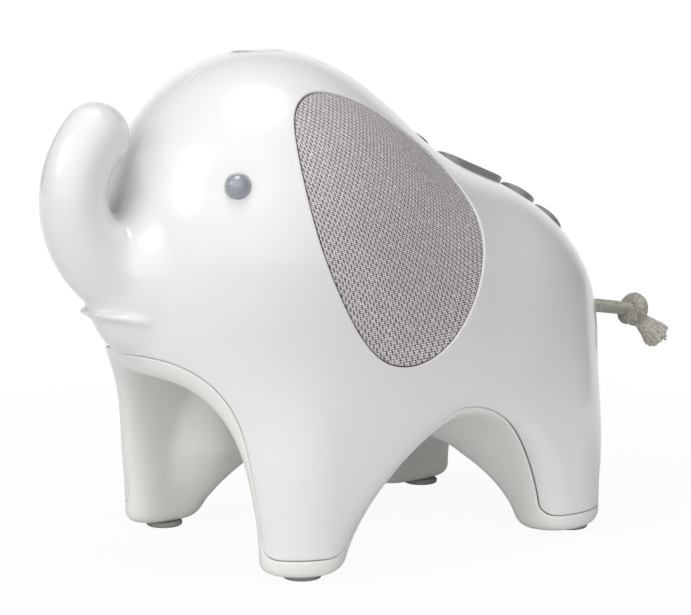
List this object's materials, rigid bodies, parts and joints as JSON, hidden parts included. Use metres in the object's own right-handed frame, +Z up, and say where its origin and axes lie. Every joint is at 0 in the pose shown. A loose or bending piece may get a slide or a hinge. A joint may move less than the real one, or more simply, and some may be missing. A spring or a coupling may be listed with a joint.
{
  "type": "nightlight soother",
  "caption": "Elephant-shaped bedside soother: glossy white shell, cloth speaker ears, back buttons, crown projector window, rope tail, rubber feet and a belly battery door.",
  "frame": {"origin": "on the floor under the middle of the elephant's box, tail rope left out", "axes": "+Z up, -X towards the trunk, +X towards the tail, -Y the elephant's left side"},
  "size_m": [0.2626, 0.1168, 0.1646],
  "materials": {
    "shell_white": "pearl white moulded gloss",
    "underbody_white": "warm white moulded satin",
    "ear_cloth": "grey taupe woven speaker cloth",
    "ear_grille": "moulded grey",
    "eye_grey": "glossy blue grey bead",
    "pad_rubber": "matt grey rubber",
    "button_grey": "satin grey silicone rubber",
    "bezel_white": "white moulded gloss",
    "lens_clear": "clear moulded lens",
    "reflector": "vacuum metallised",
    "board_green": "green solder mask",
    "board_parts": "black moulded parts",
    "lamp": "warm lamp dome",
    "speaker_steel": "black pressed steel",
    "speaker_cone": "black cone",
    "foam": "black foam",
    "box_white": "white moulded satin",
    "cell": "plain grey cell sleeve",
    "spring_steel": "nickel plated",
    "screw_steel": "zinc plated",
    "rope": "grey beige cotton rope"
  },
  "bodies": {
    "body": {"shell_left": "shell_white", "ear_cloth_left": "ear_cloth", "ear_grille_left": "ear_grille", "eye_left": "eye_grey", "shell_right": "shell_white", "ear_cloth_right": "ear_cloth", "ear_grille_right": "ear_grille", "eye_right": "eye_grey", "underbody": "underbody_white", "foot_pad_front_left": "pad_rubber", "foot_pad_front_right": "pad_rubber", "foot_pad_rear_left": "pad_rubber", "foot_pad_rear_right": "pad_rubber", "foot_screws": "screw_steel", "tact_switches": "board_parts", "main_board": "board_green", "board_parts": "board_parts", "board_screws": "screw_steel", "projector_bezel": "bezel_white", "projector_lens": "lens_clear", "projector_reflector": "reflector", "lamp_board": "board_green", "lamp": "lamp", "speaker_gasket": "foam", "speaker_basket": "speaker_steel", "speaker_cone": "speaker_cone", "speaker_magnet": "speaker_steel", "battery_box": "box_white", "battery_1": "cell", "battery_2": "cell", "battery_3": "cell", "battery_contacts": "spring_steel", "tail_plug": "pad_rubber", "tail_rope": "rope", "tail_knot": "rope", "tail_tuft": "rope"},
    "battery_door": {"battery_door": "underbody_white"},
    "button_light": {"button_light": "button_grey"},
    "button_louder": {"button_louder": "button_grey"},
    "button_melody": {"button_melody": "button_grey"},
    "button_softer": {"button_softer": "button_grey"},
    "door_screw": {"door_screw": "screw_steel"}
  },
  "joints": [
    {"name": "press_light", "type": "slide", "parent": "body", "child": "button_light", "axis": [-0.4848, 0, -0.8746], "range_m": [0, 0.001], "stiffness_N_per_m": 800},
    {"name": "press_melody", "type": "slide", "parent": "body", "child": "button_melody", "axis": [-0.4848, 0, -0.8746], "range_m": [0, 0.001], "stiffness_N_per_m": 800},
    {"name": "press_louder", "type": "slide", "parent": "body", "child": "button_louder", "axis": [-0.4848, 0, -0.8746], "range_m": [0, 0.001], "stiffness_N_per_m": 800},
    {"name": "press_softer", "type": "slide", "parent": "body", "child": "button_softer", "axis": [-0.4848, 0, -0.8746], "range_m": [0, 0.001], "stiffness_N_per_m": 800},
    {"name": "door_tilt", "type": "hinge", "parent": "body", "child": "battery_door", "pos_m": [-0.02605, 0, 0.0553], "axis": [0, 1, 0], "range_deg": [0, 34]},
    {"name": "door_screw_turn", "type": "hinge", "parent": "battery_door", "child": "door_screw", "pos_m": [0.04445, 0, 0.062], "axis": [0, 0, 1], "continuous": true}
  ]
}
